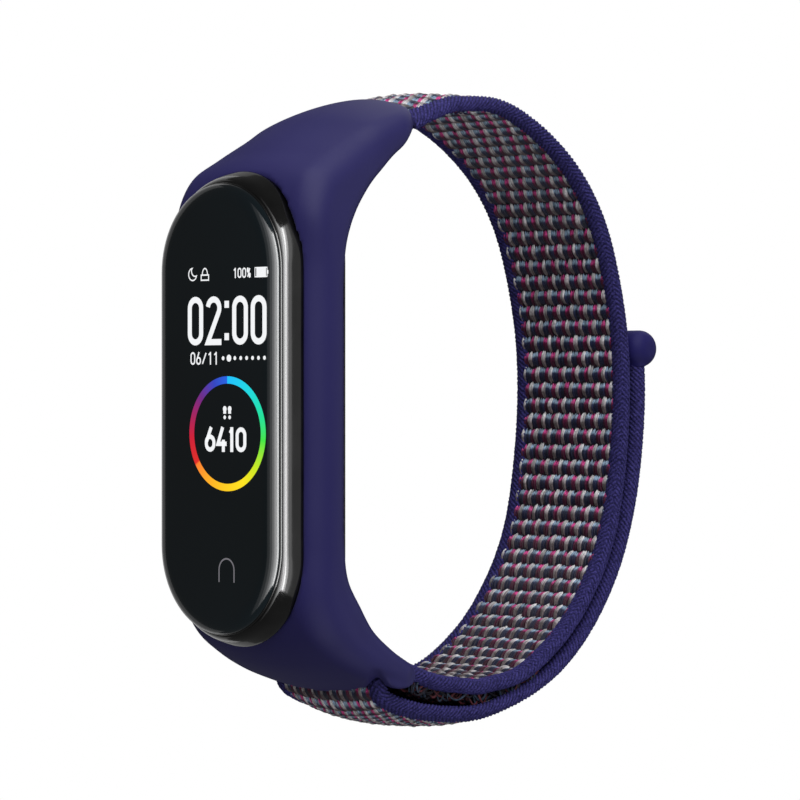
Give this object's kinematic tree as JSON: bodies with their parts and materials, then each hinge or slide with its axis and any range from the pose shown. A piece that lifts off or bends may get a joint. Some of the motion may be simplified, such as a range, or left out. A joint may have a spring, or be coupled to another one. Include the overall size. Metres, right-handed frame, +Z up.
{
  "type": "fitness tracker band",
  "caption": "Slim black fitness tracker in a moulded navy holder on a woven hook-and-loop strap loop with a round end cap.",
  "frame": {"origin": "middle of the wrist opening, on the wrist's axis, half way along the tracker's height", "axes": "+X along the wrist's axis, -Y the way the display faces, +Z up along the display"},
  "size_m": [0.0216, 0.0545, 0.0632],
  "materials": {
    "holder_rubber": "satin moulded navy",
    "cap_rubber": "satin moulded navy",
    "strap_weave": "woven nylon, cream, slate and burgundy yarns",
    "strap_edge": "navy braided edge",
    "screen_glass": "polished",
    "case_black": "polished black",
    "seal_rubber": "matt",
    "dark_lens": "polished",
    "gold": "plated",
    "display_black": "polished",
    "copper": "bare",
    "board_green": "solder mask",
    "chip_black": "moulded",
    "steel": "stamped",
    "battery_grey": "foil pouch",
    "lead_red": "insulated",
    "tungsten": "sintered",
    "led_green": "clear",
    "hook_nylon": "hook pile"
  },
  "bodies": {
    "root": {"holder": "holder_rubber", "strap_anchor_tab": "strap_weave", "anchor_rivets": "steel", "strap_band": "strap_weave", "strap_edge_left": "strap_edge", "strap_edge_right": "strap_edge", "strap_fold": "strap_weave", "fold_stitches": "strap_edge"},
    "tracker": {"cover_glass": "screen_glass", "bezel_ring": "case_black", "upper_case": "case_black", "case_seal": "seal_rubber", "lower_case": "case_black", "sensor_window": "dark_lens", "charge_contacts": "gold", "display_panel": "display_black", "touch_key_pad": "copper", "main_board": "board_green", "display_flex": "copper", "board_chips": "chip_black", "shield_can": "steel", "antenna": "steel", "battery": "battery_grey", "battery_leads": "lead_red", "motor_can": "steel", "motor_base": "steel", "motor_shaft": "steel", "sensor_board": "board_green", "sensor_leds": "led_green", "photodiode": "chip_black", "light_baffle": "seal_rubber", "contact_springs": "gold"},
    "motor_weight": {"motor_rotor": "tungsten"},
    "flap_one": {"flap_1": "strap_weave", "flap_1_edges": "strap_edge"},
    "flap_two": {"flap_2": "strap_weave", "flap_2_edges": "strap_edge"},
    "flap_three": {"flap_3": "strap_weave", "flap_3_edges": "strap_edge"},
    "flap_four": {"flap_4": "strap_weave", "flap_4_edges": "strap_edge", "hook_patch": "hook_nylon", "end_cap": "cap_rubber"}
  },
  "joints": [
    {"name": "tracker_eject", "type": "slide", "parent": "root", "child": "tracker", "axis": [0, -1, 0], "range_m": [0, 0.016]},
    {"name": "motor_spin", "type": "hinge", "parent": "tracker", "child": "motor_weight", "pos_m": [0, -0.0262, -0.0156], "axis": [0, 1, 0], "continuous": true},
    {"name": "flap_peel", "type": "hinge", "parent": "root", "child": "flap_one", "pos_m": [0, -0.01456, -0.0295], "axis": [-1, 0, 0], "range_deg": [0, 45]},
    {"name": "flap_bend_low", "type": "hinge", "parent": "flap_one", "child": "flap_two", "pos_m": [0, -0.00032, -0.03095], "axis": [-1, 0, 0], "range_deg": [0, 36]},
    {"name": "flap_bend_middle", "type": "hinge", "parent": "flap_two", "child": "flap_three", "pos_m": [0, 0.01267, -0.02498], "axis": [-1, 0, 0], "range_deg": [0, 36]},
    {"name": "flap_bend_high", "type": "hinge", "parent": "flap_three", "child": "flap_four", "pos_m": [0, 0.02051, -0.01311], "axis": [-1, 0, 0], "range_deg": [0, 36]}
  ],
  "couplings": [
    {"joint": "flap_bend_low", "follows": "flap_peel", "ratio": 0.8},
    {"joint": "flap_bend_middle", "follows": "flap_peel", "ratio": 0.8},
    {"joint": "flap_bend_high", "follows": "flap_peel", "ratio": 0.8}
  ]
}
